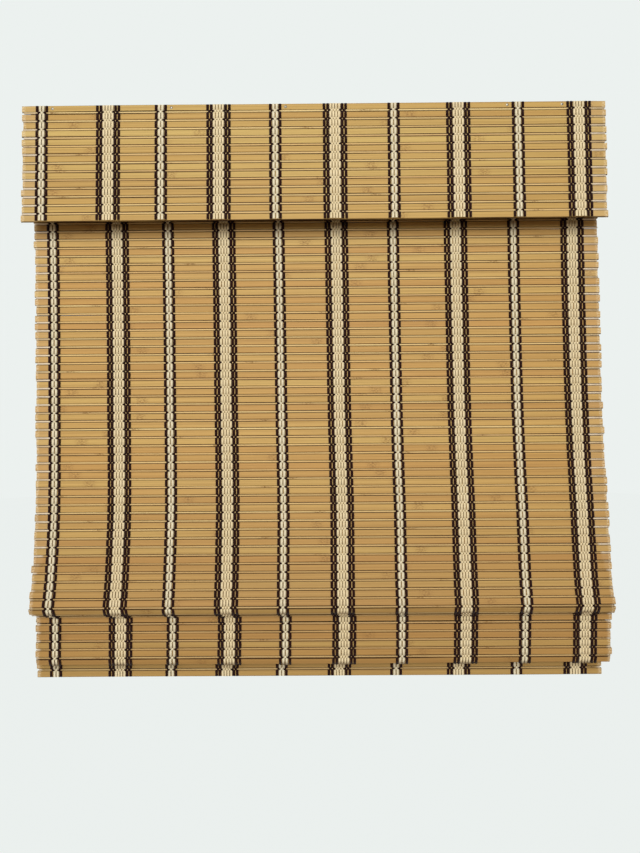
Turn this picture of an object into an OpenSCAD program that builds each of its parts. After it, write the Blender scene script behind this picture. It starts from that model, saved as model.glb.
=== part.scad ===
// Bamboo roman blind: a woven reed shade under a wooden headboard, with a valance in front.
// The wall is the plane Y = 0, the front faces -Y, and the origin is midway between the wall holes.

/* [Mats] */
// Width of both woven mats
mat_w = 600; // [400:10:1200]
// Height of one woven row, which is one slat and one stick
row_pitch = 8.8; // [8.4:0.1:10]
// Height of a split bamboo slat
slat_h = 6.2; // [5:0.1:6.4]
// Thickness of a slat
slat_t = 1.6; // [1.2:0.1:2]
// Thickness of the round stick between two slats
stick_d = 1.6; // [1.2:0.1:2]
// Length of the loose slat ends outside the outer yarn stripes
loose_end = 10; // [6:1:12]
// How far the slat ends differ from each other
ragged = 1.5; // [0:0.1:2.5]

/* [Yarn] */
// Distance between neighbouring yarns in a stripe
yarn_pitch = 3.1; // [2.4:0.1:3.4]
// Thickness of the yarn layer on each side of a mat
yarn_t = 0.8; // [0.6:0.1:1.2]
// Distance from the mat's left edge to its first stripe
stripe_left = 20; // [18:1:40]
// Distance from the mat's right edge to its last stripe
stripe_right = 27.5; // [24:0.5:40]

/* [Shade] */
// Rows that hang straight down from the cleat
rows_straight = 12; // [11:1:20]
// Rows that lean slowly forward below them
rows_lean = 26; // [16:1:60]
// Lean of the mat where the belly begins
lean_deg = 3.2; // [1:0.1:5]
// Rows in the upper part of the belly
rows_belly = 15; // [10:1:20]
// Lean of the mat where the belly swells out
belly_deg = 9; // [6:0.5:11]
// Rows in the swell above the lip
rows_swell = 3.5; // [2.5:1:5.5]
// Lean of the mat where the swell meets the lip
swell_deg = 17; // [12:1:20]
// Rows of the second tier, from below the lip to the fold
rows_tier = 5.5; // [4.5:1:8.5]
// Rows that climb behind the second tier
rows_climb = 6; // [4:1:8]
// Rows of the tail that hangs lowest
rows_tail = 8; // [7:1:12]
// Radius of the two folds, measured at the middle of the mat
fold_r = 3.5; // [3.4:0.1:4.5]

/* [Valance] */
// Slats in the valance
valance_slats = 14; // [8:1:24]
// Lean of the valance away from the headboard
valance_deg = 2.4; // [0:0.1:5]
// Distance of the valance in front of the shade
valance_gap = 22; // [21:1:28]
// Distance of a tack from the edge of the stripe beside it
tack_gap = 4.5; // [3:0.1:8]
// Diameter of a tack's head
tack_head_d = 3; // [2:0.1:4]

/* [Headboard] */
// Length of the headboard
board_w = 586; // [560:2:1200]
// Depth of the headboard from the wall
board_d = 46; // [44:1:60]
// Thickness of the headboard
board_t = 19; // [16:1:25]
// Depth of the cleat that carries the shade
cleat_d = 12; // [8:1:14]
// Height of the cleat
cleat_h = 26; // [20:1:40]

/* [Brackets] */
// Distance of a wall hole from the headboard's end
bracket_inset = 93; // [85:1:120]
// Width of a bracket
bracket_w = 20; // [16:1:24]
// Thickness of the bracket's steel
bracket_t = 2; // [1.5:0.1:3]
// Height of the bracket's leg on the wall
bracket_leg = 34; // [28:1:60]
// Diameter of a wall hole
wall_hole_d = 4.5; // [3.5:0.1:6]
// Diameter of the screws
screw_d = 3; // [2.5:0.1:3.5]

/* [Lift gear] */
// Outer diameter of a lift ring
ring_d = 12; // [9:0.5:14]
// Thickness of a lift ring
ring_t = 1.8; // [1.2:0.1:2.4]
// Rows between two lift rings
ring_rows = 14; // [10:1:16]
// Outer diameter of the loop of a screw eye
eye_d = 10; // [8:0.5:12]
// Wire of a screw eye
eye_t = 2; // [1.6:0.1:2.4]
// Distance of the cord lock's middle from the headboard's end
lock_inset = 45; // [31:1:53]
// Diameter of the roller in the cord lock
roller_d = 6; // [5:0.1:7]
// Diameter of the pin that carries the roller
roller_pin_d = 2.4; // [2:0.1:3]
// Travel of the roller along its slot
roller_travel = 4; // [2:0.5:5]
// Rise of the roller's slot
slot_deg = 40; // [30:1:50]
// Height of the bottom batten
batten_h = 20; // [14:1:26]
// Thickness of the bottom batten
batten_t = 5; // [3:0.5:8]

/* [Hidden] */
$fn = 48;
// Gap at a fixed seat, and the yarn's gap over a slat
clear = 0.1;
// Underside of the headboard above the wall holes
board_z = 14;
board_top = board_z + board_t;
half_t = slat_t/2;
slat_bevel = 0.4;
stripes = 10;
// Yarns that show over a slat in a narrow and in a wide stripe, dark pairs at their edges
yarns = [4, 8];
// Hand-woven drift of each stripe from an even spacing
stripe_drift = [0, 7, 0, -2, -5, -5, -6, -1, -1, 0];
stripe_step = (mat_w - stripe_left - stripe_right)/(stripes - 1);
mat_reach = half_t + clear + yarn_t;

// A mat's section is a chain of arcs, each [length, turn in degrees], forward positive.
// A place on it is [y, z, heading], and heading 0 points straight down.
function arc_end(p, run, turn) =
    let(chord = abs(turn) < 0.001 ? run : run*sin(turn/2)/(turn*PI/360))
    let(aim = p[2] + turn/2)
    [p[0] - chord*sin(aim), p[1] - chord*cos(aim), p[2] + turn];
function along(chain, s, p, k = 0) =
    let(run = chain[k][0])
    s <= run || k == len(chain) - 1
        ? arc_end(p, s, chain[k][1]*s/run)
        : along(chain, s - run, arc_end(p, run, chain[k][1]), k + 1);
// The point at a distance in front of a place, and further down along the mat
function off(p, front, down = 0) =
    [p[0] - front*cos(p[2]) - down*sin(p[2]), p[1] + front*sin(p[2]) - down*cos(p[2])];
function flip(v) = [for (i = [len(v) - 1:-1:0]) v[i]];
function stripe_x(k) = stripe_left + k*stripe_step + stripe_drift[k] - mat_w/2;
function between(k) = (stripe_x(k) + stripe_x(k + 1))/2;

// The shade hangs, leans, swells into a lip, recedes to the second tier and folds twice
valance_y = -board_d - mat_reach - clear;
shade_y = valance_y + valance_gap;
fold_run = PI*fold_r;
rows_lip = 2;
rows_recess = 1;
recess_deg = 75;
rows_above_swell = rows_straight + rows_lean + rows_belly;
rows_front = rows_above_swell + rows_swell + rows_lip + rows_recess + rows_tier;
shade_rows = rows_front + rows_climb + rows_tail;
shade = [[
    [rows_straight*row_pitch, 0],
    [rows_lean*row_pitch, lean_deg],
    [rows_belly*row_pitch, belly_deg - lean_deg],
    [rows_swell*row_pitch, swell_deg - belly_deg],
    [rows_lip*row_pitch, -swell_deg - recess_deg],
    [rows_recess*row_pitch, recess_deg],
    [rows_tier*row_pitch - fold_run/2, 0],
    [fold_run, -180],
    [rows_climb*row_pitch - fold_run, 0],
    [fold_run, 180],
    [rows_tail*row_pitch - fold_run/2, 0]],
    [shade_y, board_z - clear, 0]];
valance = [[[valance_slats*row_pitch, 0]], [valance_y, board_top, valance_deg]];
function place(mat, row) = along(mat[0], row*row_pitch, mat[1]);

// Half of the outline of rows a to b: side 1 is the front, -1 the back
function row_edge(mat, a, b, side) =
    [for (i = [a:b]) let(mid = place(mat, i + 0.5)) let(end = place(mat, i + 1)) each [
        off(mid, side*(half_t - slat_bevel), -slat_h/2),
        off(mid, side*half_t, slat_bevel - slat_h/2),
        off(mid, side*half_t, slat_h/2 - slat_bevel),
        off(mid, side*(half_t - slat_bevel), slat_h/2),
        if (i < b) each [for (a = [-50, 0, 50]) off(end, side*stick_d/2*cos(a), stick_d/2*sin(a))]]];
module rows(mat, a, b) {
    polygon(concat(row_edge(mat, a, b, 1), flip(row_edge(mat, a, b, -1))));
}

// An outline in Y and Z drawn across the blind from x0 to x1
module across(x0, x1) {
    translate([x0, 0, 0]) rotate([90, 0, 90]) linear_extrude(x1 - x0) children();
}

// One wall of rows whose slats end loose and ragged outside the stripes
function slat_end(i, side) = mat_w/2 + ragged*sin(i*i*47 + side*70);
module loose_ends(mat, a, b) {
    inner = mat_w/2 - loose_end;
    for (i = [a:b]) for (s = [0, 1]) mirror([s, 0, 0]) across(inner, slat_end(i, s)) rows(mat, i, i);
}
module mat_wall(mat, count) {
    across(loose_end - mat_w/2, mat_w/2 - loose_end) rows(mat, 0, count - 1);
}

// Half of a yarn band's outline at a distance from the mat's middle. Where the mat is nearly
// straight, every third row carries a point, and where it bends every slat and stick does.
function bent(i) =
    (i >= rows_above_swell - 1 && i <= rows_front - rows_tier)
    || abs(i + 0.5 - rows_front) < 2
    || abs(i + 0.5 - rows_front - rows_climb) < 2;
// How far down a slat the yarn lies on it: to its very end where it goes on round a fold
function is_fold(i) = i == rows_front || i == rows_front + rows_climb;
function laid(round_fold) = slat_h/2 - (round_fold ? 0 : slat_bevel);
function band_edge(mat, a, b, d) =
    [for (i = [a:b]) let(mid = place(mat, i + 0.5)) each [
        if (bent(i) || (i - a)%3 == 0) off(mid, d, -laid(i > a && is_fold(i))),
        if (bent(i) || i == b) off(mid, d, laid(i < b && is_fold(i + 1))),
        if (bent(i) && i < b) off(place(mat, i + 1), d)]];
module band(mat, a, b, side) {
    near = side*(half_t + clear);
    far = side*mat_reach;
    polygon(concat(band_edge(mat, a, b, near), flip(band_edge(mat, a, b, far))));
}
// Yarn runs over both sides of a mat and stops short inside a fold
module shade_bands() {
    band(shade, 0, rows_front + rows_climb - 1, 1);
    band(shade, rows_front + rows_climb, shade_rows - 1, 1);
    band(shade, 0, rows_front - 1, -1);
    band(shade, rows_front, shade_rows - 1, -1);
}
module valance_bands() {
    band(valance, 0, valance_slats - 1, 1);
    band(valance, 0, valance_slats - 1, -1);
}
// A narrow stripe has one dark yarn at each edge, a wide one has two
function half_stripe(k) = yarns[k%2]*yarn_pitch/2;
function dark_w(k) = yarns[k%2]/4*yarn_pitch;
module dark_bands() {
    for (k = [0:stripes - 1]) {
        across(stripe_x(k) - half_stripe(k), stripe_x(k) - half_stripe(k) + dark_w(k) - clear) children();
        across(stripe_x(k) + half_stripe(k) - dark_w(k) + clear, stripe_x(k) + half_stripe(k)) children();
    }
}
module cream_bands() {
    for (k = [0:stripes - 1]) {
        inner = half_stripe(k) - dark_w(k);
        across(stripe_x(k) - inner, stripe_x(k) + inner) children();
    }
}

// Valance tacks: to the right of three stripes and to the left of the last two
tack_len = 14;
tack_head_t = 0.8;
tack_d = 1.2;
tack_xs = concat(
    [for (k = [0, 2, 4]) stripe_x(k) + half_stripe(k) + tack_gap],
    [for (k = [8, 9]) stripe_x(k) - half_stripe(k) - tack_gap]);
module at_tacks() {
    p = place(valance, 0.5);
    face = off(p, half_t);
    for (x = tack_xs) translate([x, face[0], face[1]]) rotate([-90 - valance_deg, 0, 0]) children();
}
module tack_shank(gap) {
    cylinder(d = tack_d + 2*gap, h = tack_len + gap);
}

// Shade staples: a crown behind the top slat and two legs into the cleat
staple_w = 10;
staple_t = 0.8;
staple_leg = 9;
module at_staples() {
    p = place(shade, 0.5);
    back = off(p, -half_t);
    for (k = [0:2:stripes - 2]) translate([between(k), back[0], back[1]]) children();
}
module staple_legs(gap) {
    for (s = [-1, 1]) translate([s*(staple_w - staple_t)/2, 0, 0])
        translate([-staple_t/2 - gap, -staple_leg - gap, -staple_t/2 - gap])
            cube([staple_t + 2*gap, staple_leg + gap, staple_t + 2*gap]);
}

// Screws with a domed head below their seat and a shank that points up
screw_head_d = 2*screw_d;
screw_head_t = 0.7*screw_d;
// Depth of a screw's bite in the headboard
screw_bite = 10;
module screw(length) {
    cylinder(d = screw_d, h = length);
    difference() {
        intersection() {
            translate([0, 0, -screw_head_t]) cylinder(d = screw_head_d, h = screw_head_t);
            translate([0, 0, screw_d]) sphere(d = 2*(screw_d + screw_head_t));
        }
        translate([-screw_d, -0.4, -screw_head_t - 1]) cube([2*screw_d, 0.8, 1.8]);
    }
}
module screw_bore(length) {
    translate([0, 0, -clear]) cylinder(d = screw_d + 2*clear, h = length + 2*clear);
}

// Cleat: a strip under the headboard, and the shade is stapled to its back
cleat_back = shade_y - mat_reach - clear;
cleat_w = mat_w - 4*loose_end;
cleat_screw_z = board_z - cleat_h + screw_head_t;
cleat_screw_len = cleat_h + screw_bite;
module at_cleat_screws() {
    for (k = [1:2:stripes - 2]) translate([between(k), cleat_back - cleat_d/2, cleat_screw_z]) children();
}
// Brackets: bent steel angles under the back of the headboard
bracket_seat = 17;
bracket_spacing = board_w - 2*bracket_inset;
module at_brackets() {
    for (s = [-1, 1]) translate([s*bracket_spacing/2, 0, 0]) children();
}
bracket_screw_len = bracket_t + screw_bite;
module at_bracket_screws() {
    at_brackets() translate([0, -bracket_seat/2 - bracket_t/2, board_z - bracket_t]) children();
}
// Screw eyes: at the back, over the two lift columns, which run down the first bays inside the brackets
eye_y = -11;
eye_neck = 1.5;
eye_shank = 13;
// Least gap of a screw eye beside a bracket
eye_gap = 2;
lift_room = bracket_spacing/2 - bracket_w/2 - eye_gap - eye_t/2;
bays = [for (k = [0:stripes - 2]) if (abs(between(k)) < lift_room) between(k)];
lift_xs = [bays[0], bays[len(bays) - 1]];
eye_mid_z = board_z - eye_neck - eye_d/2;
module eye_bore(x) {
    translate([x, eye_y, board_z - 1]) cylinder(d = eye_t + 2*clear, h = eye_shank + 1 + clear);
}
// Cord lock: a cage under a flange, at the back of the headboard
lock_w = 22;
lock_d = 13;
lock_h = 18;
lock_wall = 1.6;
lock_flange = 36;
lock_y = -10;
lock_x = board_w/2 - lock_inset;
lock_screw_len = lock_wall + screw_bite;
module at_lock() {
    translate([lock_x, lock_y, board_z]) children();
}
module at_lock_screws() {
    at_lock() for (s = [-1, 1]) translate([s*(lock_w + lock_flange)/4, 0, -lock_wall]) children();
}

module headboard() {
    color("burlywood") difference() {
        translate([-board_w/2, -board_d, board_z]) cube([board_w, board_d, board_t]);
        at_tacks() tack_shank(clear);
        at_cleat_screws() screw_bore(cleat_screw_len);
        at_bracket_screws() screw_bore(bracket_screw_len);
        at_lock_screws() screw_bore(lock_screw_len);
        for (x = lift_xs) eye_bore(x);
    }
}
module cleat() {
    color("burlywood") difference() {
        translate([-cleat_w/2, cleat_back - cleat_d, board_z - cleat_h]) cube([cleat_w, cleat_d, cleat_h]);
        at_staples() staple_legs(clear);
        at_cleat_screws() screw_bore(cleat_screw_len);
        at_cleat_screws() translate([0, 0, -screw_head_t - 1]) cylinder(d = screw_head_d + 1, h = screw_head_t + 1);
    }
}
module cleat_screws() {
    color("silver") at_cleat_screws() screw(cleat_screw_len);
}
module valance_mat() {
    color("tan") difference() {
        union() {
            mat_wall(valance, valance_slats);
            loose_ends(valance, 0, valance_slats - 1);
        }
        at_tacks() tack_shank(clear);
    }
}
module valance_dark_yarn() {
    color("saddlebrown") dark_bands() valance_bands();
}
module valance_cream_yarn() {
    color("antiquewhite") cream_bands() valance_bands();
}
module valance_tacks() {
    color("silver") at_tacks() {
        tack_shank(0);
        intersection() {
            translate([0, 0, -tack_head_t]) cylinder(d = tack_head_d, h = tack_head_t);
            translate([0, 0, tack_head_d/2]) sphere(r = tack_head_d/2 + tack_head_t);
        }
    }
}
// The rows behind the valance and inside the folds keep straight ends
module shade_mat() {
    inner = mat_w/2 - loose_end;
    hidden = [[0, rows_straight - 1], [rows_front, rows_front + rows_climb - 1]];
    color("tan") difference() {
        union() {
            mat_wall(shade, shade_rows);
            for (h = hidden) for (s = [0, 1])
                mirror([s, 0, 0]) across(inner, mat_w/2) rows(shade, h[0], h[1]);
            loose_ends(shade, rows_straight, rows_front - 1);
            loose_ends(shade, rows_front + rows_climb, shade_rows - 1);
        }
        at_staples() staple_legs(clear);
    }
}
module shade_dark_yarn() {
    color("saddlebrown") dark_bands() shade_bands();
}
module shade_cream_yarn() {
    color("antiquewhite") cream_bands() shade_bands();
}
module shade_staples() {
    color("silver") at_staples() {
        staple_legs(0);
        translate([-staple_w/2, 0, -staple_t/2]) cube([staple_w, staple_t, staple_t]);
    }
}
module bracket() {
    foot_z = board_z - bracket_leg + bracket_w/2;
    difference() {
        union() {
            translate([-bracket_w/2, -bracket_t, foot_z]) cube([bracket_w, bracket_t, board_z - foot_z]);
            translate([0, 0, foot_z]) rotate([90, 0, 0]) cylinder(d = bracket_w, h = bracket_t);
            translate([-bracket_w/2, -bracket_seat, board_z - bracket_t])
                cube([bracket_w, bracket_seat, bracket_t]);
        }
        rotate([90, 0, 0]) translate([0, 0, -1]) cylinder(d = wall_hole_d, h = bracket_t + 2);
        translate([0, -bracket_seat/2 - bracket_t/2, board_z - bracket_t]) screw_bore(bracket_t);
    }
}
module bracket_left() {
    color("lightgray") translate([-bracket_spacing/2, 0, 0]) bracket();
}
module bracket_right() {
    color("lightgray") translate([bracket_spacing/2, 0, 0]) bracket();
}
module bracket_screws() {
    color("silver") at_bracket_screws() screw(bracket_screw_len);
}
module screw_eye(x) {
    color("goldenrod") translate([x, eye_y, eye_mid_z]) {
        rotate([0, 90, 0]) rotate_extrude() translate([(eye_d - eye_t)/2, 0]) circle(d = eye_t);
        translate([0, 0, (eye_d - eye_t)/2]) cylinder(d = eye_t, h = eye_neck + eye_t/2 + eye_shank);
    }
}
module screw_eye_left() {
    screw_eye(lift_xs[0]);
}
module screw_eye_right() {
    screw_eye(lift_xs[1]);
}
// Lift rings lie level against the back of a slat, down each column and behind the tail
module lift_rings(x) {
    tops = [for (i = [ring_rows:ring_rows:rows_above_swell]) i];
    color("ivory") for (i = concat(tops, [rows_front + rows_climb + 1])) {
        p = off(place(shade, i + 0.5), -half_t - 2*clear - ring_d/2);
        translate([x, p[0], p[1]]) rotate_extrude() translate([(ring_d - ring_t)/2, 0]) circle(d = ring_t);
    }
}
module lift_rings_left() {
    lift_rings(lift_xs[0]);
}
module lift_rings_right() {
    lift_rings(lift_xs[1]);
}
// The roller rests at the low end of two slanted slots in the cage's side walls
roller_low = [-roller_travel/2*cos(slot_deg), -lock_h*0.58 - roller_travel/2*sin(slot_deg)];
module pin_slot(d, reach) {
    for (s = [0, roller_travel])
        translate([roller_low[0] + s*cos(slot_deg), -reach/2, roller_low[1] + s*sin(slot_deg)])
            rotate([-90, 0, 0]) cylinder(d = d, h = reach);
    translate([roller_low[0], -reach/2, roller_low[1]]) rotate([0, -slot_deg, 0])
        translate([0, 0, -d/2]) cube([roller_travel, reach, d]);
}
module cord_lock_body() {
    color("white") at_lock() difference() {
        union() {
            translate([-lock_flange/2, -lock_d/2, -lock_wall]) cube([lock_flange, lock_d, lock_wall]);
            translate([-lock_w/2, -lock_d/2, -lock_h]) cube([lock_w, lock_d, lock_h]);
        }
        translate([-lock_w/2 - 1, lock_wall - lock_d/2, -lock_h - 1])
            cube([lock_w + 1 - lock_wall, lock_d - 2*lock_wall, lock_h + 1 - 2*lock_wall]);
        pin_slot(roller_pin_d + 4*clear, lock_d + 2);
        for (s = [-1, 1]) translate([s*(lock_w + lock_flange)/4, 0, -lock_wall]) screw_bore(lock_wall);
    }
}
module cord_lock_roller() {
    roller_w = lock_d - 2*lock_wall - 6*clear;
    color("dimgray") at_lock() translate([roller_low[0], 0, roller_low[1]]) rotate([90, 0, 0]) {
        cylinder(d = roller_d, h = roller_w, center = true);
        cylinder(d = roller_pin_d, h = lock_d, center = true);
    }
}
module cord_lock_screws() {
    color("silver") at_lock_screws() screw(lock_screw_len);
}
module bottom_batten() {
    p = off(place(shade, shade_rows), -mat_reach - clear);
    color("burlywood") translate([-cleat_w/2, p[0], p[1] + row_pitch/2])
        cube([cleat_w, batten_t, batten_h]);
}

headboard();
cleat();
cleat_screws();
valance_mat();
valance_dark_yarn();
valance_cream_yarn();
valance_tacks();
shade_mat();
shade_dark_yarn();
shade_cream_yarn();
shade_staples();
bracket_left();
bracket_right();
bracket_screws();
screw_eye_left();
screw_eye_right();
lift_rings_left();
lift_rings_right();
cord_lock_body();
cord_lock_roller();
cord_lock_screws();
bottom_batten();
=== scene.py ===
"""Looks of a bamboo roman blind: split slats and thin sticks woven together with dark and cream
yarn, hung under a wooden headboard with a valance of the same weave in front. Lengths in metres."""

import math
import random

import bmesh
import bpy
from mathutils import Matrix, Vector


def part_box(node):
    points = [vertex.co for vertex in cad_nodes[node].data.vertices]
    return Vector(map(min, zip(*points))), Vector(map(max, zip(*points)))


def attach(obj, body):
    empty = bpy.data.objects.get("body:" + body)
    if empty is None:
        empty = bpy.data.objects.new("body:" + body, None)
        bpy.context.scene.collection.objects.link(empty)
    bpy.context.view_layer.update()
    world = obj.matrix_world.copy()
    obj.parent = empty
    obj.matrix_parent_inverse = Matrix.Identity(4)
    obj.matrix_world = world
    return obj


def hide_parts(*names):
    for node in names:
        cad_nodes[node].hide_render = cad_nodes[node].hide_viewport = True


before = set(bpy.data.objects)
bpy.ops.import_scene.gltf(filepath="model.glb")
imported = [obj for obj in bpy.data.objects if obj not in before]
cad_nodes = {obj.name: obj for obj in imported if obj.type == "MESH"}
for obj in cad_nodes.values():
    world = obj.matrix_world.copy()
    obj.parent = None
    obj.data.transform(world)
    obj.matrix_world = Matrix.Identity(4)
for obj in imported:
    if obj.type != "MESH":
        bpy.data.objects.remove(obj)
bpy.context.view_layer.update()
scene = bpy.context.scene
scene.view_settings.view_transform = "Standard"

# Camera: straight in front of the blind at the height of its middle, close enough for a wide view,
# held a touch askew.
camera_spot = Vector((0.007, -0.7109, -0.300))
camera_left = math.radians(0.23)
camera_down = math.radians(0.1)
camera_roll = math.radians(-0.42)
camera_lens = bpy.data.cameras.new("camera")
camera_lens.sensor_fit = "AUTO"
camera_lens.sensor_width = 36.0
camera_lens.lens = 27.1
camera = bpy.data.objects.new("camera", camera_lens)
scene.collection.objects.link(camera)
camera.matrix_world = (
    Matrix.Translation(camera_spot)
    @ Matrix.Rotation(camera_left, 4, "Z")
    @ Matrix.Rotation(math.pi / 2 - camera_down, 4, "X")
    @ Matrix.Rotation(camera_roll, 4, "Z")
)
scene.camera = camera


# Studio: an even pale surround, a broad soft lamp in front and above that lets the valance shade
# the mat behind it, another for the back, and a pale floor well below the blind.
class Wire:
    """A value in a node tree: sums on it add Math nodes, and make() adds any other node."""

    def __init__(self, tree, socket=None):
        self.tree = tree
        self.socket = socket

    def make(self, kind, settings=None, inputs=None, out=0):
        node = self.tree.nodes.new("ShaderNode" + kind)
        for key, value in (settings or {}).items():
            setattr(node, key, value)
        for key, value in (inputs or {}).items():
            if isinstance(value, Wire):
                self.tree.links.new(value.socket, node.inputs[key])
            else:
                node.inputs[key].default_value = value
        return Wire(self.tree, node.outputs[out] if node.outputs else None)

    def math(self, operation, first, second=0.0):
        return self.make("Math", {"operation": operation}, {0: first, 1: second})

    def __add__(self, other):
        return self.math("ADD", self, other)

    def __radd__(self, other):
        return self.math("ADD", other, self)

    def __sub__(self, other):
        return self.math("SUBTRACT", self, other)

    def __rsub__(self, other):
        return self.math("SUBTRACT", other, self)

    def __mul__(self, other):
        return self.math("MULTIPLY", self, other)

    def __rmul__(self, other):
        return self.math("MULTIPLY", other, self)

    def step(self, low, high):
        """0 below low, 1 above high, and smooth between them."""
        ends = {0: self, 1: low, 2: high, 3: 0.0, 4: 1.0}
        return self.make("MapRange", {"interpolation_type": "SMOOTHSTEP"}, ends)

    def tint(self, colour, other):
        """From one colour to the other as this value goes from 0 to 1."""
        ends = {0: self, 6: colour, 7: other}
        return self.make("Mix", {"data_type": "RGBA"}, ends, out=2)


def seen_directly(wire):
    """1 for what the camera sees, mirrored or through glass too, and 0 for the light on things."""
    paths = wire.make("LightPath")
    outputs = paths.socket.node.outputs
    seen = Wire(wire.tree, outputs["Is Camera Ray"]) + Wire(wire.tree, outputs["Is Glossy Ray"])
    seen = seen + Wire(wire.tree, outputs["Is Transmission Ray"])
    return wire.math("MINIMUM", seen, 1.0)


surround = (0.839, 0.880, 0.863, 1.0)
fill_light = (1.0, 0.76, 0.55, 1.0)
fill_strength = 0.30
world = bpy.data.worlds.new("studio")
world.use_nodes = True
world.node_tree.nodes.clear()
air = Wire(world.node_tree)
glow = air.make("Background", inputs={"Color": fill_light, "Strength": fill_strength})
sight = air.make("Background", inputs={"Color": surround, "Strength": 1.0})
both = air.make("MixShader", inputs={0: seen_directly(air), 1: glow, 2: sight})
air.make("OutputWorld", inputs={"Surface": both})
scene.world = world

daylight = (1.0, 1.0, 0.99)
lamp_target = Vector((0.0, 0.0, -0.25))
lamps = (
    ("front_lamp", Vector((-0.2, -2.2, 0.44)), 1.6, 49.0),
    ("back_lamp", Vector((0.6, 2.4, 0.9)), 1.6, 30.0),
)
for name, spot, size, power in lamps:
    light = bpy.data.lights.new(name, "AREA")
    light.energy = power
    light.shape = "DISK"
    light.size = size
    light.color = daylight
    lamp = bpy.data.objects.new(name, light)
    aim = (lamp_target - spot).to_track_quat("-Z", "Y")
    lamp.matrix_world = Matrix.Translation(spot) @ aim.to_matrix().to_4x4()
    scene.collection.objects.link(lamp)

floor_drop = -1.25
floor_radius = 9.0
floor_sides = 64
floor_bounce = (0.34, 0.29, 0.24, 1.0)
floor_sight = 0.985
floor_mesh = bmesh.new()
bmesh.ops.create_circle(floor_mesh, cap_ends=True, segments=floor_sides, radius=floor_radius)
bmesh.ops.translate(floor_mesh, vec=(0.0, 0.0, floor_drop), verts=floor_mesh.verts)
floor = bpy.data.objects.new("floor", bpy.data.meshes.new("floor"))
floor_mesh.to_mesh(floor.data)
floor_mesh.free()
scene.collection.objects.link(floor)
floor_paint = bpy.data.materials.new("pale_floor")
floor_paint.use_nodes = True
floor_paint.node_tree.nodes.clear()
ground = Wire(floor_paint.node_tree)
matt = ground.make("BsdfDiffuse", inputs={"Color": floor_bounce})
plain = ground.make("Emission", inputs={"Color": surround, "Strength": 1.0})
in_sight = seen_directly(ground) * floor_sight
floor_blend = ground.make("MixShader", inputs={0: in_sight, 1: matt, 2: plain})
ground.make("OutputMaterial", inputs={"Surface": floor_blend})
floor.data.materials.append(floor_paint)


# Headboard, cleat and bottom batten: planed softwood strips. The board is screwed to two brackets,
# the cleat under it carries the shade, and the batten lies behind the tail.
def finish(name, **constants):
    """A new material with its constants set, a wire to start from, and a way into its shader."""
    material = bpy.data.materials.new(name)
    material.use_nodes = True
    tree = material.node_tree
    shader = tree.nodes["Principled BSDF"]
    for key, value in constants.items():
        shader.inputs[key.replace("_", " ")].default_value = value

    def feed(**values):
        for key, value in values.items():
            tree.links.new(value.socket, shader.inputs[key.replace("_", " ")])

    return material, Wire(tree), feed


def apart(wire):
    """The three numbers of a vector."""
    parts = wire.make("SeparateXYZ", inputs={0: wire}).socket.node
    return [Wire(wire.tree, output) for output in parts.outputs]


def joined(x, y, z):
    """A vector of three numbers, of which x is a wire."""
    return x.make("CombineXYZ", inputs={0: x, 1: y, 2: z})


def noise(at, detail=3.0, roughness=0.55):
    """Cloudy noise from 0 to 1, with one cell to a unit of its vector."""
    knobs = {"Vector": at, "Scale": 1.0, "Detail": detail, "Roughness": roughness}
    return at.make("TexNoise", inputs=knobs)


def clouds(at, along, across, detail=3.0):
    """Noise with so many cells to a metre along X and across it."""
    x, y, z = apart(at)
    return noise(joined(x * along, y * across, z * across), detail)


def bump(height, strength, distance):
    """A surface normal from a height."""
    knobs = {"Strength": strength, "Distance": distance, "Height": height}
    return height.make("Bump", inputs=knobs)


def repaint(name, material):
    """Gives a CAD node its finish."""
    piece = cad_nodes[name]
    if not piece.material_slots:
        piece.data.materials.append(material)
    for slot in piece.material_slots:
        slot.material = material


early_wood = (0.66, 0.46, 0.25, 1.0)
late_wood = (0.46, 0.27, 0.115, 1.0)
sway_along = 5.0
sway_across = 30.0
fibre_along = 40.0
fibre_across = 1800.0
ring_rate = 900.0
ring_slant = 0.35
ring_sway = 16.0
timber, grain, feed_timber = finish("planed_timber", Specular_IOR_Level=0.35)
on_timber = grain.make("TexCoord", out="Object")
sway = clouds(on_timber, sway_along, sway_across)
fibres = clouds(on_timber, fibre_along, fibre_across, detail=2.0)
x, y, z = apart(on_timber)
rings = grain.math("SINE", (z + ring_slant * y) * ring_rate + sway * ring_sway) * 0.5 + 0.5
feed_timber(
    Base_Color=(rings * 0.55 + fibres * 0.3).tint(early_wood, late_wood),
    Roughness=0.5 + fibres * 0.25,
    Normal=bump(fibres + rings * 0.4, strength=0.25, distance=0.0003),
)
for name in ("headboard", "cleat", "bottom_batten"):
    repaint(name, timber)

# Brackets: steel strip bent to an angle, punched and zinc plated. There is one near each end of the
# board, and they are screwed to the wall and the board.
zinc_pale = (0.46, 0.47, 0.48, 1.0)
zinc_dull = (0.27, 0.28, 0.30, 1.0)
spangle_rate = 260.0
smear_rate = 120.0
zinc, plating, feed_zinc = finish("zinc_plate", Metallic=1.0)
on_plate = plating.make("TexCoord", out="Object")
flakes = {"Vector": on_plate, "Scale": spangle_rate}
spangle = plating.make("RGBToBW", inputs={0: plating.make("TexVoronoi", inputs=flakes, out="Color")})
smear = clouds(on_plate, smear_rate, smear_rate)
feed_zinc(
    Base_Color=(spangle * 0.5 + smear * 0.5).tint(zinc_pale, zinc_dull),
    Roughness=0.28 + smear * 0.22,
    Normal=bump(smear, strength=0.08, distance=0.0003),
)
for name in ("bracket_left", "bracket_right"):
    repaint(name, zinc)


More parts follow.
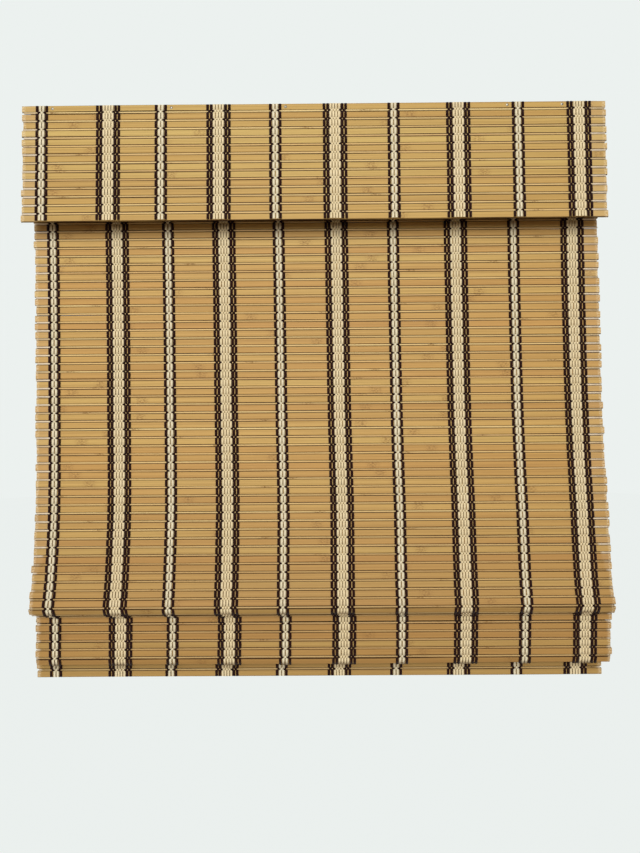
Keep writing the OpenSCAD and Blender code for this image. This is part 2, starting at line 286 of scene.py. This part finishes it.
# Screws, tacks and staples: drawn steel wire with formed heads. Those that hold the fittings and the
# shade are bright, and the tacks along the valance's top slat are duller.
def worn_metal(name, bright, worn, rate, detail, wear, gloss, spread, depth):
    """Metal with marks, duller where it is worn: wear is where that starts and where it is full."""
    material, start, feed = finish(name, Metallic=1.0)
    marks = clouds(start.make("TexCoord", out="Object"), rate, rate, detail)
    feed(
        Base_Color=marks.step(*wear).tint(bright, worn),
        Roughness=gloss + marks * spread,
        Normal=bump(marks, strength=depth, distance=0.0002),
    )
    return material


bright_steel = worn_metal(
    "bright_steel", bright=(0.56, 0.56, 0.55, 1.0), worn=(0.32, 0.31, 0.30, 1.0),
    rate=700.0, detail=4.0, wear=(0.45, 0.8), gloss=0.2, spread=0.25, depth=0.05,
)
for name in ("cleat_screws", "bracket_screws", "cord_lock_screws", "shade_staples"):
    repaint(name, bright_steel)
dull_steel = worn_metal(
    "dull_steel", bright=(0.46, 0.41, 0.32, 1.0), worn=(0.16, 0.13, 0.10, 1.0),
    rate=900.0, detail=2.0, wear=(0.35, 0.65), gloss=0.4, spread=0.2, depth=0.1,
)
repaint("valance_tacks", dull_steel)

# Screw eyes: brass plated wire bent to a loop. There is one over each lift column, with its thread
# screwed up into the board.
brass = worn_metal(
    "brass_wire", bright=(0.78, 0.57, 0.24, 1.0), worn=(0.42, 0.27, 0.10, 1.0),
    rate=240.0, detail=4.0, wear=(0.4, 0.75), gloss=0.2, spread=0.3, depth=0.05,
)
for name in ("screw_eye_left", "screw_eye_right"):
    repaint(name, brass)

# Lift rings and cord lock body: moulded off-white plastic, the rings tied to the back of the shade
# and the lock screwed under the board.
ring_ivory = (0.80, 0.76, 0.66, 1.0)
ring_shade = (0.66, 0.61, 0.50, 1.0)
swirl_rate = 90.0
ivory, flow, feed_ivory = finish("ring_plastic", IOR=1.5)
swirl = clouds(flow.make("TexCoord", out="Object"), swirl_rate, swirl_rate)
feed_ivory(
    Base_Color=swirl.tint(ring_ivory, ring_shade),
    Roughness=0.24 + swirl * 0.16,
    Normal=bump(swirl, strength=0.05, distance=0.0003),
)
for name in ("lift_rings_left", "lift_rings_right"):
    repaint(name, ivory)
lock_white = (0.80, 0.79, 0.74, 1.0)
lock_grey = (0.64, 0.63, 0.59, 1.0)
blush_rate = 60.0
pebble_rate = 2600.0
moulded, skin, feed_moulded = finish("lock_plastic", IOR=1.48)
on_lock = skin.make("TexCoord", out="Object")
blush = clouds(on_lock, blush_rate, blush_rate)
pebble = clouds(on_lock, pebble_rate, pebble_rate, detail=1.0)
feed_moulded(
    Base_Color=blush.tint(lock_white, lock_grey),
    Roughness=0.4 + pebble * 0.2,
    Normal=bump(pebble, strength=0.2, distance=0.0001),
)
repaint("cord_lock_body", moulded)

# Cord lock roller: a turned metal roller with a diamond knurl for grip. Its pin slides in the
# slanted slots of the lock body.
roller_x = 0.246468
roller_z = 0.002274
knurl_teeth = 24.0
knurl_pitch = 0.0008
roller_high = (0.60, 0.60, 0.60, 1.0)
roller_groove_shade = (0.20, 0.20, 0.20, 1.0)
knurled, turning, feed_knurled = finish("roller_metal", Metallic=1.0)
x, y, z = apart(turning.make("TexCoord", out="Object"))
around = turning.math("ARCTAN2", z - roller_z, x - roller_x) * knurl_teeth
length = y * (2.0 * math.pi / knurl_pitch)
teeth = turning.math("SINE", around + length) * turning.math("SINE", around - length) * 0.5 + 0.5
# The knurl's grooves get painted shade, darker than its crests.
feed_knurled(
    Base_Color=teeth.tint(roller_groove_shade, roller_high),
    Roughness=0.45 - teeth * 0.15,
    Normal=bump(teeth, strength=0.5, distance=0.0002),
)
repaint("cord_lock_roller", knurled)

# Path of the two mats: each row is one slat and one stick. The shade hangs from the cleat, leans
# forward, swells to a lip, steps back to a second tier, folds up behind it and down as a tail.
row_pitch = 0.0088
fold_radius = 0.0035
fold_run = math.pi * fold_radius
# Where a mat starts: (y, z, heading in degrees), and its stretches: (length, turn in degrees)
shade_start = (-0.0258, 0.0139, 0.0)
shade_rows = 79
shade_chain = [
    (12 * row_pitch, 0.0),
    (26 * row_pitch, 3.2),
    (15 * row_pitch, 5.8),
    (3.5 * row_pitch, 8.0),
    (2 * row_pitch, -92.0),
    (1 * row_pitch, 75.0),
    (5.5 * row_pitch - fold_run / 2, 0.0),
    (fold_run, -180.0),
    (6 * row_pitch - fold_run, 0.0),
    (fold_run, 180.0),
    (8 * row_pitch - fold_run / 2, 0.0),
]
valance_start = (-0.0478, 0.033, 2.4)
valance_rows = 14
valance_chain = [(valance_rows * row_pitch, 0.0)]
# The shade hangs a little to one side further down: (row, shift)
shade_drift = [
    (0, 0.0),
    (12, 0.001),
    (34, 0.003),
    (46, 0.005),
    (57.5, 0.0045),
    (59.5, 0.0065),
    (65, 0.0055),
    (71, 0.0024),
    (79, 0.0009),
]
valance_drift = [(0, 0.0), (14, 0.0)]


def arc_end(spot, run, turn):
    """The place at the end of an arc. Heading 0 is straight down, and forward is positive."""
    half = math.radians(turn / 2)
    chord = run if abs(turn) < 0.001 else run * math.sin(half) / half
    aim = math.radians(spot[2]) + half
    return (spot[0] - chord * math.sin(aim), spot[1] - chord * math.cos(aim), spot[2] + turn)


def sideways(drift, row):
    """Sideways shift of a row, read between the listed ones."""
    for (a, low), (b, high) in zip(drift, drift[1:]):
        if row <= b:
            return low + (high - low) * (row - a) / (b - a)
    return drift[-1][1]


class Mat:
    """One woven mat: where its rows lie, and points measured from them."""

    def __init__(self, name, rows, chain, start, drift):
        self.name = name
        self.rows = rows
        self.chain = chain
        self.start = start
        self.drift = drift

    def place(self, row):
        """The place of a row, counted from the top: (y, z, heading)."""
        spot = self.start
        run = row * row_pitch
        for length, turn in self.chain[:-1]:
            if run <= length:
                return arc_end(spot, run, turn * run / length)
            spot = arc_end(spot, length, turn)
            run -= length
        length, turn = self.chain[-1]
        return arc_end(spot, run, turn * run / length)

    def point(self, row, x, front, down):
        """A point in front of a row's middle and further down along the mat."""
        y, z, heading = self.place(row)
        h = math.radians(heading)
        return Vector((
            x + sideways(self.drift, row),
            y - front * math.cos(h) - down * math.sin(h),
            z + front * math.sin(h) - down * math.cos(h),
        ))


shade = Mat("shade", shade_rows, shade_chain, shade_start, shade_drift)
valance = Mat("valance", valance_rows, valance_chain, valance_start, valance_drift)

# Slats: split bamboo strips, planed on both faces and cut to length a little unevenly. They lie
# edge to edge with the sticks, and only the yarn holds them.
mat_half_w = 0.300
slat_h = 0.0076
slat_t = 0.0016
slat_bevel = 0.0004
slat_front = 0.80
slat_cuts = 11
ragged = 0.0009
ragged_turn = 47
ragged_side = 70
slat_tilt = 0.0005
slat_bow = 0.00015
slat_bow_wave = 21.0
slat_lift = 0.00025
slat_lift_wave = 13.0
slat_tall = (0.98, 1.02)
# The two slats at the sharp bend of the step lie drawn together: how far each sits down the mat
drawn_in = {58: 0.0004, 59: -0.0006}
any_phase = 6.28
chance = random.Random(11)
carrier = bpy.data.meshes.new("carrier")


def slat_end(row, side):
    """Length of a slat from the middle of the mat: side 0 is the right, 1 the left."""
    turn = row * row * ragged_turn + side * ragged_side
    return mat_half_w + ragged * math.sin(math.radians(turn))


def along_edges(blank):
    """The edges along X of a blank that is one unit long."""
    return [e for e in blank.edges if abs(e.verts[0].co.x - e.verts[1].co.x) > 0.5]


def slat_blank():
    """A slat one unit long, its front along +Y narrower than its back, its lower edge along +Z."""
    blank = bmesh.new()
    bmesh.ops.create_cube(blank, size=1.0)
    bmesh.ops.scale(blank, vec=(1.0, slat_t, slat_h), verts=blank.verts)
    front = [v for v in blank.verts if v.co.y > 0]
    bmesh.ops.scale(blank, vec=(1.0, 1.0, slat_front), verts=front)
    bmesh.ops.bevel(
        blank, geom=along_edges(blank), offset=slat_bevel, offset_type="OFFSET",
        segments=2, profile=0.5, affect="EDGES", material=-1,
    )
    bmesh.ops.subdivide_edges(blank, edges=along_edges(blank), cuts=slat_cuts, use_grid_fill=True)
    return blank


def lay(weave, blank, left, right, strip, spot):
    """Adds a copy of a blank to a mat's mesh as long as left and right say, and put where spot says.
    Its UV map runs along the strip in metres and across it in rows, from the strip's own number."""
    one = blank.copy()
    uv = one.loops.layers.uv.new("weave")
    for face in one.faces:
        for loop in face.loops:
            co = loop.vert.co
            loop[uv].uv = (co.x * (left + right), strip + 0.5 + co.z / row_pitch)
    for vert in one.verts:
        x = (vert.co.x + 0.5) * (left + right) - left
        vert.co = spot(x, vert.co.y, vert.co.z)
    one.to_mesh(carrier)
    one.free()
    weave.from_mesh(carrier)


def woven_piece(weave, name, bamboo, mat):
    """Makes a mat's mesh a piece that stands for the mat."""
    piece = bpy.data.objects.new(name, bpy.data.meshes.new(name))
    weave.to_mesh(piece.data)
    weave.free()
    piece.data.materials.append(bamboo)
    scene.collection.objects.link(piece)
    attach(piece, "blind")
    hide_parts(mat.name + "_mat")


# Strips of one kind are numbered from a multiple of this, so that none shares its tone with another
strips_apart = 200
bamboo_dark = (0.30, 0.165, 0.055, 1.0)
# Painted shade in the creases between slats and sticks, along each strip's edges
crease_shade = (0.050, 0.022, 0.006, 1.0)
crease_shade_fade = 0.03
ruddy_share = 0.6
dull_share = 0.38
band_share = 0.24
hairline_share = 0.42
node_share = 0.85
# Painted shade over the shade's lower rows, from the swell down: where it starts, where it is full, and
# how dark
lower_shade_rows = (36.0, 60.0)
lower_shade_share = 0.4
# Painted light at the margins, where light comes through the gaps beside the sticks: where it starts,
# and how far in it is pulled on the rows with folds behind
margin_at = mat_half_w - 0.018
margin_fade = 0.004
covered_rows = (48.0, 54.0)
covered_by = 0.012
tip_at = mat_half_w - 0.004
tip_fade = 0.002
tip_share = 0.6


def bamboo_finish(name, tan, yellow, ruddy, crease_shade_at, pale, margin_light):
    """Bamboo: streaks along the strip, a tone for each row, faint nodes and pale end grain at the tips,
    with painted shade in the creases along the edges, painted shade on the shade's lower rows and
    painted light at the margins.
    """
    material, start, feed = finish(name, Specular_IOR_Level=0.14)
    u, v, _ = apart(start.make("UVMap", {"uv_map": "weave"}))
    row = start.math("FLOOR", v)
    tone = start.make("TexWhiteNoise", {"noise_dimensions": "1D"}, {"W": row})
    other = start.make("TexWhiteNoise", {"noise_dimensions": "1D"}, {"W": row + 0.37})

    def marks(along, across, by_row, detail, roughness=0.55):
        """Noise drawn out along the strips, and different on each."""
        return noise(joined(u * along, v * across, row * by_row), detail, roughness)

    drift = noise(joined(u * 3.2, row * 7.3, other * 9.0), detail=2.0)
    colour = (tone * 0.55 + drift * 0.8 - 0.175).step(0.15, 0.85).tint(tan, yellow)
    red = (other * 0.7 + drift * 0.8).step(0.75, 1.15)
    colour = (red * ruddy_share).tint(colour, ruddy)
    streak = marks(5.0, 8.0, 2.9, detail=4.0, roughness=0.65)
    hair = marks(60.0, 46.0, 1.3, detail=2.0)
    dull = (streak * 0.6 + hair * 0.4).step(0.38, 0.72)
    colour = (dull * dull_share).tint(colour, bamboo_dark)
    band = marks(2.2, 5.0, 1.9, detail=1.0).step(0.45, 0.62)
    colour = (band * band_share).tint(colour, bamboo_dark)
    hairline = marks(4.0, 26.0, 3.7, detail=1.0).step(0.58, 0.68)
    colour = (hairline * hairline_share).tint(colour, bamboo_dark)
    along = start.math("FRACT", u * 3.1 + other * 7.0)
    node_line = 1.0 - start.math("ABSOLUTE", along - 0.5).step(0.004, 0.03)
    speck = marks(420.0, 9.0, 1.0, detail=3.0).step(0.42, 0.62)
    colour = (node_line * speck * node_share).tint(colour, bamboo_dark)
    mat_row = start.math("MODULO", row, strips_apart)
    # Painted shade: the shade's rows get darker from the swell down, for the shade under the lip.
    colour = (mat_row.step(*lower_shade_rows) * lower_shade_share).tint(colour, bamboo_dark)
    # Painted shade along each strip's edges, patchy along the strip, for the creases between slats and
    # sticks
    crease = start.math("ABSOLUTE", start.math("FRACT", v) - 0.5).step(crease_shade_at, crease_shade_at + crease_shade_fade)
    patchy = marks(7.0, 2.0, 5.1, detail=1.0).step(0.35, 0.6)
    colour = (crease * (0.5 + patchy * 0.5)).tint(colour, crease_shade)
    # Painted light at the margins, as if seen through the gaps from behind. It is pulled in on the rows
    # with folds behind them and is stronger on some rows than on others.
    reach = start.math("ABSOLUTE", u)
    covered = mat_row.step(*covered_rows) * covered_by
    lit_margin = (reach - covered).step(margin_at, margin_at + margin_fade)
    lit_margin = lit_margin * (other.step(0.1, 0.6) * 0.7 + 0.3)
    colour = (lit_margin * margin_light).tint(colour, pale)
    tip = reach.step(tip_at, tip_at + tip_fade)
    colour = (tip * speck * tip_share).tint(colour, pale)
    relief = streak * 0.6 + hair * 0.5 + node_line * 0.5
    feed(
        Base_Color=colour,
        Roughness=0.42 + streak * 0.22 + crease * 0.2,
        Normal=bump(relief, strength=0.22, distance=0.0003),
    )
    return material


slat_bamboo = bamboo_finish(
    "slat_bamboo", tan=(0.560, 0.336, 0.107, 1.0), yellow=(0.635, 0.447, 0.153, 1.0),
    ruddy=(0.530, 0.285, 0.092, 1.0), crease_shade_at=0.315, pale=(0.82, 0.70, 0.48, 1.0), margin_light=0.08,
)
# The valance's bamboo is yellower than the shade's, and a little darker as painted shade, which makes
# up for the lamp lighting the valance more.
valance_bamboo = bamboo_finish(
    "valance_bamboo", tan=(0.520, 0.327, 0.100, 1.0), yellow=(0.610, 0.450, 0.155, 1.0),
    ruddy=(0.490, 0.277, 0.085, 1.0), crease_shade_at=0.308, pale=(0.82, 0.70, 0.48, 1.0), margin_light=0.12,
)
for mat, bamboo, first in ((shade, slat_bamboo, 0), (valance, valance_bamboo, strips_apart)):
    weave = bmesh.new()
    weave.loops.layers.uv.new("weave")
    blank = slat_blank()
    for row in range(mat.rows):
        tilt = chance.uniform(-slat_tilt, slat_tilt)
        bow = chance.uniform(-slat_bow, slat_bow)
        phase = chance.uniform(0.0, any_phase)
        tall = chance.uniform(*slat_tall)

        def slat_spot(x, front, down):
            sag = tilt * x + bow * math.sin(x * slat_bow_wave + phase)
            lift = slat_lift * math.sin(x * slat_lift_wave + 2.0 * phase)
            return mat.point(row + 0.5, x, front + lift, down * tall + sag + drawn_in.get(row, 0.0))

        lay(weave, blank, slat_end(row, 1), slat_end(row, 0), first + row, slat_spot)
    blank.free()
    woven_piece(weave, mat.name + "_slats", bamboo, mat)

# Sticks: thin round rods of pale bamboo core, one between each two slats. They are cut a little
# shorter than the slats, and only the yarn holds them.
stick_d = 0.0020
stick_sides = 7
stick_cuts = 11
stick_short = 0.0015
stick_bow = 0.00015
stick_bow_wave = 17.0
stick_thick = (1.02, 1.08)
stick_proud = 0.0001


def stick_blank():
    """A stick one unit long along X."""
    blank = bmesh.new()
    bmesh.ops.create_cone(
        blank, cap_ends=True, segments=stick_sides, radius1=stick_d / 2, radius2=stick_d / 2, depth=1.0,
    )
    lengthwise = Matrix.Rotation(math.pi / 2, 3, "Y")
    bmesh.ops.rotate(blank, cent=(0, 0, 0), matrix=lengthwise, verts=blank.verts)
    bmesh.ops.subdivide_edges(blank, edges=along_edges(blank), cuts=stick_cuts, use_grid_fill=True)
    for face in blank.faces:
        face.smooth = len(face.verts) == 4
    return blank


# The sticks get painted shade along their round sides, and painted light at their ends in the margins.
stick_bamboo = bamboo_finish(
    "stick_bamboo", tan=(0.740, 0.520, 0.225, 1.0), yellow=(0.820, 0.650, 0.315, 1.0),
    ruddy=(0.700, 0.450, 0.195, 1.0), crease_shade_at=0.072, pale=(0.95, 0.86, 0.70, 1.0), margin_light=0.8,
)
for mat, first in ((shade, 2 * strips_apart), (valance, 3 * strips_apart)):
    weave = bmesh.new()
    weave.loops.layers.uv.new("weave")
    blank = stick_blank()
    for row in range(1, mat.rows):
        right = mat_half_w - chance.uniform(0.0, stick_short)
        left = mat_half_w - chance.uniform(0.0, stick_short)
        bow = chance.uniform(-stick_bow, stick_bow)
        phase = chance.uniform(0.0, any_phase)
        thick = chance.uniform(*stick_thick)

        def stick_spot(x, front, down):
            sag = bow * math.sin(x * stick_bow_wave + phase)
            return mat.point(row, x, front * thick + stick_proud, down * thick + sag)

        lay(weave, blank, left, right, first + row, stick_spot)
    blank.free()
    woven_piece(weave, mat.name + "_sticks", stick_bamboo, mat)
bpy.data.meshes.remove(carrier)

# Yarn: soft twisted cotton in ten stripes, narrow and wide in turn, dark at the edges and cream in
# the middle. One set runs over the slats and under the sticks, the other under and over.
stripe_drift = [0.0, 0.007, 0.0, -0.002, -0.005, -0.005, -0.006, -0.001, -0.001, 0.0]
stripe_left = 0.020
stripe_right = 0.0275
stripe_step = (2 * mat_half_w - stripe_left - stripe_right) / (len(stripe_drift) - 1)
stripe_xs = [stripe_left + k * stripe_step + d - mat_half_w for k, d in enumerate(stripe_drift)]
# Places of the yarns across a stripe, over the slats and over the sticks
narrow_dark = ((-0.0050, 0.0050), (-0.0032, 0.0032))
narrow_cream = ((-0.0017, 0.0017), (0.0,))
wide_dark = ((-0.0111, -0.0075, 0.0075, 0.0111), (-0.0094, -0.0057, 0.0057, 0.0094))
wide_cream = ((-0.0045, -0.0015, 0.0015, 0.0045), (-0.0030, 0.0, 0.0030))
yarn_flat = 0.0007
yarn_sides = 6
yarn_on_slat = slat_t / 2 + yarn_flat
yarn_on_stick = stick_d / 2 + yarn_flat
yarn_wander = 0.00015
yarn_end = 0.0026
float_half = 0.00315
hump_half = 0.0006


def strand(mat, x, over_slats):
    """The points of one yarn down a mat, four to a row."""
    points = []
    side = 1.0 if over_slats else -1.0
    for row in range(mat.rows):
        wander = chance.uniform(-yarn_wander, yarn_wander)
        upper = yarn_end if row == 0 else float_half
        lower = yarn_end if row + 1 == mat.rows else float_half
        points.append(mat.point(row + 0.5, x + wander, side * yarn_on_slat, -upper))
        points.append(mat.point(row + 0.5, x + wander, side * yarn_on_slat, lower))
        if row + 1 < mat.rows:
            points.append(mat.point(row + 1, x + wander, -side * yarn_on_stick, -hump_half))
            points.append(mat.point(row + 1, x + wander, -side * yarn_on_stick, hump_half))
    return points


def yarn_piece(name, strands, half_w, half_t):
    """A mesh of flattened tubes along the strands, marked where its flanks face sideways."""
    section_line = bpy.data.curves.new("section", "CURVE")
    section_line.dimensions = "2D"
    ring = section_line.splines.new("POLY")
    ring.points.add(yarn_sides - 1)
    ring.use_cyclic_u = True
    for k, dot in enumerate(ring.points):
        turn = math.radians(360 / yarn_sides * k)
        dot.co = (half_w * math.cos(turn), half_t * math.sin(turn), 0.0, 1.0)
    section = bpy.data.objects.new("section", section_line)
    line = bpy.data.curves.new(name + "_line", "CURVE")
    line.dimensions = "3D"
    line.twist_mode = "MINIMUM"
    line.bevel_mode = "OBJECT"
    line.bevel_object = section
    line.use_fill_caps = True
    for points in strands:
        spline = line.splines.new("POLY")
        spline.points.add(len(points) - 1)
        for dot, point in zip(spline.points, points):
            dot.co = (*point, 1.0)
    tube = bpy.data.objects.new(name + "_line", line)
    scene.collection.objects.link(section)
    scene.collection.objects.link(tube)
    graph = bpy.context.evaluated_depsgraph_get()
    mesh = bpy.data.meshes.new_from_object(tube.evaluated_get(graph))
    mesh.name = name
    bpy.data.objects.remove(tube)
    bpy.data.objects.remove(section)
    bpy.data.curves.remove(line)
    bpy.data.curves.remove(section_line)
    mesh.materials.clear()
    piece = bpy.data.objects.new(name, mesh)
    scene.collection.objects.link(piece)
    mesh.shade_smooth()
    # How far each point faces sideways, where the yarn finishes paint shade
    flank = mesh.attributes.new("flank", "FLOAT", "POINT")
    flank.data.foreach_set("value", [abs(normal.vector.x) for normal in mesh.vertex_normals])
    return piece


ply_rate = 4200.0
ply_slant = 1.3
fuzz_rate = 1500.0
soil_rate = 40.0
crevice_shade_share = 0.85


def yarn_finish(name, light, shadow, crevice_shade):
    """Twisted cotton: slanting plies painted in light and shadow, a little fuzz, no gloss, and painted
    shade on the flanks where two yarns meet.
    """
    material, start, feed = finish(name, Roughness=0.9, Specular_IOR_Level=0.08, Sheen_Weight=0.06)
    on_yarn = start.make("TexCoord", out="Object")
    x, _, z = apart(on_yarn)
    ply = start.math("SINE", (x * ply_slant + z) * ply_rate) * 0.5 + 0.5
    fuzz = clouds(on_yarn, fuzz_rate, fuzz_rate)
    soil = clouds(on_yarn, soil_rate, soil_rate)
    twist = ply * 0.45 + fuzz * 0.55
    colour = (twist * 0.6 + soil * 0.3).step(0.2, 0.75).tint(shadow, light)
    flank = start.make("Attribute", {"attribute_name": "flank"}, out="Fac").step(0.52, 0.95)
    # Painted shade on the flanks, for the shade between two yarns
    colour = (flank * crevice_shade_share).tint(colour, crevice_shade)
    relief = ply * 0.6 + fuzz * 0.5
    feed(Base_Color=colour, Normal=bump(relief, strength=0.5, distance=0.0002))
    return material


dark_cotton = yarn_finish(
    "dark_cotton", light=(0.034, 0.011, 0.008, 1.0), shadow=(0.010, 0.003, 0.002, 1.0),
    crevice_shade=(0.010, 0.004, 0.003, 1.0),
)
cream_cotton = yarn_finish(
    "cream_cotton", light=(0.940, 0.895, 0.700, 1.0), shadow=(0.620, 0.545, 0.355, 1.0),
    crevice_shade=(0.060, 0.044, 0.020, 1.0),
)
beige_cotton = yarn_finish(
    "beige_cotton", light=(0.910, 0.820, 0.570, 1.0), shadow=(0.700, 0.570, 0.330, 1.0),
    crevice_shade=(0.150, 0.110, 0.050, 1.0),
)
dark_half_w = 0.00140
cream_half_w = 0.00146
beige_half_w = 0.00136
yarn_kinds = (
    ("narrow", "dark", narrow_dark, 0, dark_cotton, dark_half_w),
    ("wide", "dark", wide_dark, 1, dark_cotton, dark_half_w),
    ("narrow", "cream", narrow_cream, 0, cream_cotton, cream_half_w),
    ("wide", "cream", wide_cream, 1, beige_cotton, beige_half_w),
)
for mat in (shade, valance):
    for kind, tone, (over_slats, over_sticks), first, cotton, half_w in yarn_kinds:
        strands = []
        for stripe in stripe_xs[first::2]:
            strands += [strand(mat, stripe + x, True) for x in over_slats]
            strands += [strand(mat, stripe + x, False) for x in over_sticks]
        yarn = yarn_piece("_".join((mat.name, kind, tone, "yarn")), strands, half_w, yarn_flat)
        yarn.data.materials.append(cotton)
        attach(yarn, "blind")
        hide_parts("_".join((mat.name, tone, "yarn")))
        tone + "_yarn"

# Ring ties: a doubled cotton thread round the wire of each lift ring, drawn to the sticks above and
# below it from behind, so that nothing of it shows at the front.
tie_rows = (14, 28, 42, 72)
tie_half_w = 0.00030
tie_apart = 0.00045
ring_d = 0.012
ring_wire = 0.0018
ring_clear = 0.0002
tie_behind = slat_t / 2 + ring_clear + ring_wire + tie_half_w
tie_thread = yarn_finish(
    "tie_thread", light=(0.880, 0.820, 0.660, 1.0), shadow=(0.660, 0.570, 0.400, 1.0),
    crevice_shade=(0.400, 0.330, 0.210, 1.0),
)


def tie(row, x):
    """The points of one thread from a stick, round behind a level ring's wire, to the next stick."""
    across = x - sideways(shade.drift, row + 0.5)
    lean = math.radians(shade.place(row + 0.5)[2])
    drop = (ring_d - ring_wire) / 2 * math.sin(lean)
    return [
        shade.point(row, across, -stick_d / 4, 0.0),
        shade.point(row + 0.5, across, -tie_behind, drop - ring_wire / 4),
        shade.point(row + 0.5, across, -tie_behind, drop + ring_wire / 4),
        shade.point(row + 1, across, -stick_d / 4, 0.0),
    ]


threads = []
for column in ("lift_rings_left", "lift_rings_right"):
    low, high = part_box(column)
    middle = (low[0] + high[0]) / 2
    for row in tie_rows:
        threads += [tie(row, middle - tie_apart), tie(row, middle + tie_apart)]
ties = yarn_piece("ring_ties", threads, tie_half_w, tie_half_w)
ties.data.materials.append(tie_thread)
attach(ties, "blind")
